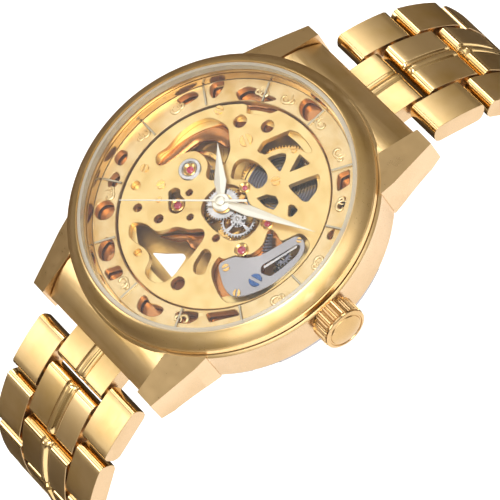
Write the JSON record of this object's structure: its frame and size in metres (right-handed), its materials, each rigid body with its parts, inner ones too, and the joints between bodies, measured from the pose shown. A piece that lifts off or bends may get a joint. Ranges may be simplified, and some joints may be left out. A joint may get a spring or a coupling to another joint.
{
  "type": "skeleton wristwatch",
  "caption": "Gold skeleton wristwatch with an open-worked hand-wound movement, an open link bracelet with a fold-over clasp.",
  "frame": {"origin": "centre of the case back's flat outer face, under the dial's axis", "axes": "+Z out of the dial, +Y to twelve o'clock, +X to the crown"},
  "size_m": [0.0438, 0.0827, 0.0949],
  "materials": {
    "polished_gold": "mirror polished yellow gold",
    "satin_gold": "satin brushed yellow gold",
    "gilt_brass": "gilt wheel brass",
    "steel": "polished steel",
    "spring_steel": "grey spring steel",
    "sapphire": "clear sapphire"
  },
  "bodies": {
    "case": {"case_middle": "satin_gold", "bezel": "polished_gold", "crystal": "sapphire", "rehaut_ring": "polished_gold", "dial_ring": "satin_gold", "mainplate": "satin_gold", "caseback_ring": "steel", "caseback_crystal": "sapphire", "crown_tube": "steel", "keyless_cover": "steel", "balance_cock": "satin_gold", "barrel_bridge": "satin_gold", "hairspring": "spring_steel"},
    "third": {"third_wheel": "gilt_brass"},
    "minute": {"centre_wheel": "gilt_brass", "minute_hand": "steel"},
    "hour": {"hour_wheel": "gilt_brass", "hour_hand": "steel"},
    "motion_work": {"minute_wheel": "steel"},
    "seconds": {"fourth_wheel": "gilt_brass", "seconds_hand": "steel"},
    "escape": {"escape_wheel": "steel"},
    "barrel": {"barrel": "gilt_brass", "mainspring": "spring_steel"},
    "pallet": {"pallet_fork": "steel"},
    "balance": {"balance_wheel": "gilt_brass"},
    "ratchet": {"ratchet_wheel": "steel"},
    "clutch": {"sliding_pinion": "steel"},
    "winding_pinion": {"winding_pinion": "steel"},
    "crown": {"crown": "polished_gold", "winding_stem": "steel"},
    "centre_link_12_0": {"centre_link_12_0": "polished_gold"},
    "outer_links_12_1": {"outer_links_12_1": "satin_gold"},
    "centre_link_12_1": {"centre_link_12_1": "polished_gold"},
    "outer_links_12_2": {"outer_links_12_2": "satin_gold"},
    "centre_link_12_2": {"centre_link_12_2": "polished_gold"},
    "outer_links_12_3": {"outer_links_12_3": "satin_gold"},
    "centre_link_12_3": {"centre_link_12_3": "polished_gold"},
    "outer_links_12_4": {"outer_links_12_4": "satin_gold"},
    "centre_link_12_4": {"centre_link_12_4": "polished_gold"},
    "outer_links_12_5": {"outer_links_12_5": "satin_gold"},
    "centre_link_12_5": {"centre_link_12_5": "polished_gold"},
    "outer_links_12_6": {"outer_links_12_6": "satin_gold"},
    "centre_link_6_0": {"centre_link_6_0": "polished_gold"},
    "outer_links_6_1": {"outer_links_6_1": "satin_gold"},
    "centre_link_6_1": {"centre_link_6_1": "polished_gold"},
    "outer_links_6_2": {"outer_links_6_2": "satin_gold"},
    "centre_link_6_2": {"centre_link_6_2": "polished_gold"},
    "outer_links_6_3": {"outer_links_6_3": "satin_gold"},
    "centre_link_6_3": {"centre_link_6_3": "polished_gold"},
    "outer_links_6_4": {"outer_links_6_4": "satin_gold"},
    "centre_link_6_4": {"centre_link_6_4": "polished_gold"},
    "outer_links_6_5": {"outer_links_6_5": "satin_gold"},
    "centre_link_6_5": {"centre_link_6_5": "polished_gold"},
    "outer_links_6_6": {"outer_links_6_6": "satin_gold"},
    "clasp_cover": {"clasp_cover": "satin_gold"},
    "folding_blade": {"folding_blade": "polished_gold"},
    "latch_plate": {"latch_plate": "polished_gold"},
    "button_right": {"push_button_right": "polished_gold"},
    "button_left": {"push_button_left": "polished_gold"}
  },
  "joints": [
    {"name": "third_turn", "type": "hinge", "parent": "case", "child": "third", "pos_m": [0.0036, -0.0023, 0.0041], "axis": [0, 0, 1], "continuous": true},
    {"name": "minute_turn", "type": "hinge", "parent": "case", "child": "minute", "pos_m": [0, 0, 0.0055], "axis": [0, 0, 1], "continuous": true},
    {"name": "hour_turn", "type": "hinge", "parent": "case", "child": "hour", "pos_m": [0, 0, 0.0072], "axis": [0, 0, 1], "continuous": true},
    {"name": "motion_turn", "type": "hinge", "parent": "case", "child": "motion_work", "pos_m": [0.0031, 0, 0.0071], "axis": [0, 0, 1], "continuous": true},
    {"name": "seconds_turn", "type": "hinge", "parent": "case", "child": "seconds", "pos_m": [0, 0, 0.0033], "axis": [0, 0, 1], "continuous": true},
    {"name": "escape_turn", "type": "hinge", "parent": "case", "child": "escape", "pos_m": [-0.0016, -0.0041, 0.0046], "axis": [0, 0, 1], "continuous": true},
    {"name": "barrel_turn", "type": "hinge", "parent": "case", "child": "barrel", "pos_m": [0.0027, 0.0067, 0.0044], "axis": [0, 0, 1], "continuous": true},
    {"name": "pallet_rock", "type": "hinge", "parent": "case", "child": "pallet", "pos_m": [-0.0041, -0.003, 0.0046], "axis": [0, 0, 1], "range_deg": [-6, 6]},
    {"name": "balance_swing", "type": "hinge", "parent": "case", "child": "balance", "pos_m": [-0.0074, 0, 0.0039], "axis": [0, 0, 1], "range_deg": [-270, 270], "stiffness_Nm_per_rad": 0.0000003},
    {"name": "ratchet_turn", "type": "hinge", "parent": "case", "child": "ratchet", "pos_m": [0.0027, 0.0067, 0.0018], "axis": [0, 0, 1], "continuous": true},
    {"name": "clutch_turn", "type": "hinge", "parent": "case", "child": "clutch", "pos_m": [0.012, 0, 0.0047], "axis": [1, 0, 0], "continuous": true},
    {"name": "winding_pinion_turn", "type": "hinge", "parent": "case", "child": "winding_pinion", "pos_m": [0.0143, 0, 0.0047], "axis": [1, 0, 0], "continuous": true},
    {"name": "crown_pull", "type": "slide", "parent": "clutch", "child": "crown", "axis": [1, 0, 0], "range_m": [0, 0.0012]},
    {"name": "centre_link_12_0_hinge", "type": "hinge", "parent": "case", "child": "centre_link_12_0", "pos_m": [0, 0.0217, 0.0015], "axis": [1, 0, 0], "range_deg": [0, 6]},
    {"name": "outer_links_12_1_hinge", "type": "hinge", "parent": "centre_link_12_0", "child": "outer_links_12_1", "pos_m": [0, 0.02587, 0.00046], "axis": [1, 0, 0], "range_deg": [0, 20]},
    {"name": "centre_link_12_1_hinge", "type": "hinge", "parent": "outer_links_12_1", "child": "centre_link_12_1", "pos_m": [0, 0.02961, -0.00145], "axis": [1, 0, 0], "range_deg": [0, 20]},
    {"name": "outer_links_12_2_hinge", "type": "hinge", "parent": "centre_link_12_1", "child": "outer_links_12_2", "pos_m": [0, 0.03305, -0.00404], "axis": [1, 0, 0], "range_deg": [0, 20]},
    {"name": "centre_link_12_2_hinge", "type": "hinge", "parent": "outer_links_12_2", "child": "centre_link_12_2", "pos_m": [0, 0.0358, -0.0072], "axis": [1, 0, 0], "range_deg": [0, 20]},
    {"name": "outer_links_12_3_hinge", "type": "hinge", "parent": "centre_link_12_2", "child": "outer_links_12_3", "pos_m": [0, 0.03776, -0.01104], "axis": [1, 0, 0], "range_deg": [0, 20]},
    {"name": "centre_link_12_3_hinge", "type": "hinge", "parent": "outer_links_12_3", "child": "centre_link_12_3", "pos_m": [0, 0.03863, -0.01514], "axis": [1, 0, 0], "range_deg": [0, 20]},
    {"name": "outer_links_12_4_hinge", "type": "hinge", "parent": "centre_link_12_3", "child": "outer_links_12_4", "pos_m": [0, 0.03893, -0.01943], "axis": [1, 0, 0], "range_deg": [0, 20]},
    {"name": "centre_link_12_4_hinge", "type": "hinge", "parent": "outer_links_12_4", "child": "centre_link_12_4", "pos_m": [0, 0.03893, -0.02363], "axis": [1, 0, 0], "range_deg": [0, 20]},
    {"name": "outer_links_12_5_hinge", "type": "hinge", "parent": "centre_link_12_4", "child": "outer_links_12_5", "pos_m": [0, 0.03893, -0.02793], "axis": [1, 0, 0], "range_deg": [0, 20]},
    {"name": "centre_link_12_5_hinge", "type": "hinge", "parent": "outer_links_12_5", "child": "centre_link_12_5", "pos_m": [0, 0.03893, -0.03213], "axis": [1, 0, 0], "range_deg": [0, 20]},
    {"name": "outer_links_12_6_hinge", "type": "hinge", "parent": "centre_link_12_5", "child": "outer_links_12_6", "pos_m": [0, 0.03893, -0.03643], "axis": [1, 0, 0], "range_deg": [0, 20]},
    {"name": "centre_link_6_0_hinge", "type": "hinge", "parent": "case", "child": "centre_link_6_0", "pos_m": [0, -0.0217, 0.0015], "axis": [-1, 0, 0], "range_deg": [0, 6]},
    {"name": "outer_links_6_1_hinge", "type": "hinge", "parent": "centre_link_6_0", "child": "outer_links_6_1", "pos_m": [0, -0.02587, 0.00046], "axis": [-1, 0, 0], "range_deg": [0, 20]},
    {"name": "centre_link_6_1_hinge", "type": "hinge", "parent": "outer_links_6_1", "child": "centre_link_6_1", "pos_m": [0, -0.02961, -0.00145], "axis": [-1, 0, 0], "range_deg": [0, 20]},
    {"name": "outer_links_6_2_hinge", "type": "hinge", "parent": "centre_link_6_1", "child": "outer_links_6_2", "pos_m": [0, -0.03305, -0.00404], "axis": [-1, 0, 0], "range_deg": [0, 20]},
    {"name": "centre_link_6_2_hinge", "type": "hinge", "parent": "outer_links_6_2", "child": "centre_link_6_2", "pos_m": [0, -0.0358, -0.0072], "axis": [-1, 0, 0], "range_deg": [0, 20]},
    {"name": "outer_links_6_3_hinge", "type": "hinge", "parent": "centre_link_6_2", "child": "outer_links_6_3", "pos_m": [0, -0.03776, -0.01104], "axis": [-1, 0, 0], "range_deg": [0, 20]},
    {"name": "centre_link_6_3_hinge", "type": "hinge", "parent": "outer_links_6_3", "child": "centre_link_6_3", "pos_m": [0, -0.03863, -0.01514], "axis": [-1, 0, 0], "range_deg": [0, 20]},
    {"name": "outer_links_6_4_hinge", "type": "hinge", "parent": "centre_link_6_3", "child": "outer_links_6_4", "pos_m": [0, -0.03893, -0.01943], "axis": [-1, 0, 0], "range_deg": [0, 20]},
    {"name": "centre_link_6_4_hinge", "type": "hinge", "parent": "outer_links_6_4", "child": "centre_link_6_4", "pos_m": [0, -0.03893, -0.02363], "axis": [-1, 0, 0], "range_deg": [0, 20]},
    {"name": "outer_links_6_5_hinge", "type": "hinge", "parent": "centre_link_6_4", "child": "outer_links_6_5", "pos_m": [0, -0.03893, -0.02793], "axis": [-1, 0, 0], "range_deg": [0, 20]},
    {"name": "centre_link_6_5_hinge", "type": "hinge", "parent": "outer_links_6_5", "child": "centre_link_6_5", "pos_m": [0, -0.03893, -0.03213], "axis": [-1, 0, 0], "range_deg": [0, 20]},
    {"name": "outer_links_6_6_hinge", "type": "hinge", "parent": "centre_link_6_5", "child": "outer_links_6_6", "pos_m": [0, -0.03893, -0.03643], "axis": [-1, 0, 0], "range_deg": [0, 20]},
    {"name": "clasp_cover_hinge", "type": "hinge", "parent": "outer_links_12_6", "child": "clasp_cover", "pos_m": [0, 0.03893, -0.04063], "axis": [1, 0, 0], "range_deg": [0, 20]},
    {"name": "folding_blade_hinge", "type": "hinge", "parent": "clasp_cover", "child": "folding_blade", "pos_m": [0, 0.04033, -0.08243], "axis": [1, 0, 0], "range_deg": [0, 120]},
    {"name": "latch_plate_hinge", "type": "hinge", "parent": "outer_links_6_6", "child": "latch_plate", "pos_m": [0, -0.03893, -0.04063], "axis": [-1, 0, 0], "range_deg": [0, 20]},
    {"name": "button_right_press", "type": "slide", "parent": "clasp_cover", "child": "button_right", "axis": [-1, 0, 0], "range_m": [0, 0.0006], "stiffness_N_per_m": 400},
    {"name": "button_left_press", "type": "slide", "parent": "clasp_cover", "child": "button_left", "axis": [1, 0, 0], "range_m": [0, 0.0006], "stiffness_N_per_m": 400}
  ],
  "couplings": [
    {"joint": "third_turn", "follows": "seconds_turn", "ratio": -0.13333},
    {"joint": "minute_turn", "follows": "seconds_turn", "ratio": 0.016667},
    {"joint": "hour_turn", "follows": "seconds_turn", "ratio": 0.0013889},
    {"joint": "motion_turn", "follows": "seconds_turn", "ratio": -0.0055556},
    {"joint": "escape_turn", "follows": "seconds_turn", "ratio": -10},
    {"joint": "barrel_turn", "follows": "seconds_turn", "ratio": -0.0020833},
    {"joint": "winding_pinion_turn", "follows": "clutch_turn", "ratio": 1},
    {"joint": "ratchet_turn", "follows": "clutch_turn", "ratio": 0.3}
  ]
}
